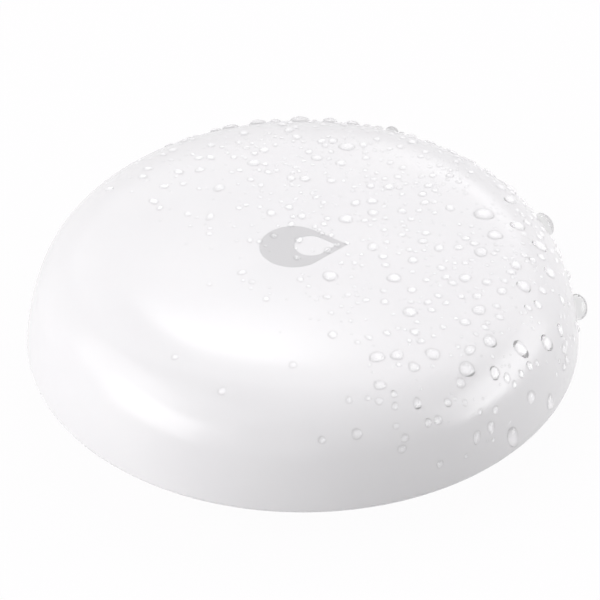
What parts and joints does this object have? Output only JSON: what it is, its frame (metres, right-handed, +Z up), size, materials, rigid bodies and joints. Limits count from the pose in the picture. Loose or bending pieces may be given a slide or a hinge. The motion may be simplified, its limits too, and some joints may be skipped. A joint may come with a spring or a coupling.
{
  "type": "water leak sensor",
  "caption": "Round domed water leak sensor with a pressable cover, metal probes underneath and a twist-off battery door.",
  "frame": {"origin": "on the floor under the middle of the round base, at the level of the feet", "axes": "+Z up through the crown; +X towards the right probe, the side the drop sign's tip points to"},
  "size_m": [0.05, 0.05, 0.015],
  "materials": {
    "cover_white": "high gloss white moulding",
    "base_white": "fine satin white moulding",
    "door_white": "fine satin white moulding",
    "seal_grey": "soft silicone",
    "foot_rubber": "pale translucent silicone",
    "probe_steel": "turned stainless steel",
    "screw_steel": "plated steel",
    "board_green": "solder resist over glass fibre",
    "chip_black": "moulded epoxy",
    "crystal_can": "plated lid",
    "passive_body": "fired body with tinned ends",
    "track_gold": "gilded track",
    "led_body": "pale lens",
    "pipe_clear": "clear moulding",
    "switch_black": "moulded",
    "switch_metal": "pressed sheet",
    "stem_white": "moulded",
    "contact_gold": "gilded spring strip",
    "cell_steel": "drawn steel",
    "cell_ring": "moulded",
    "cell_cap": "brushed"
  },
  "bodies": {
    "base": {"base_housing": "base_white", "cover_seal": "seal_grey", "probe_seals": "seal_grey", "feet": "foot_rubber", "sensing_probes": "probe_steel", "board_screws": "screw_steel", "circuit_board": "board_green", "radio_chip": "chip_black", "memory_chip": "chip_black", "crystal": "crystal_can", "passives": "passive_body", "antenna_trace": "track_gold", "indicator_led": "led_body", "switch_body": "switch_black", "switch_plate": "switch_metal", "switch_terminals": "switch_metal", "negative_contact": "contact_gold", "positive_contact": "contact_gold", "battery_can": "cell_steel", "battery_gasket": "cell_ring", "battery_cap": "cell_cap"},
    "cover": {"top_cover": "cover_white", "light_pipe": "pipe_clear"},
    "stem": {"switch_stem": "stem_white"},
    "door": {"battery_door": "door_white", "door_seal": "seal_grey"}
  },
  "joints": [
    {"name": "cover_press", "type": "slide", "parent": "base", "child": "cover", "axis": [0, 0, -1], "range_m": [0, 0.0003], "stiffness_N_per_m": 4000},
    {"name": "stem_press", "type": "slide", "parent": "base", "child": "stem", "axis": [0, 0, -1], "range_m": [0, 0.0003]},
    {"name": "door_twist", "type": "hinge", "parent": "base", "child": "door", "pos_m": [0, 0, 0.002], "axis": [0, 0, -1], "range_deg": [0, 40]}
  ],
  "couplings": [
    {"joint": "stem_press", "follows": "cover_press", "ratio": 1}
  ]
}
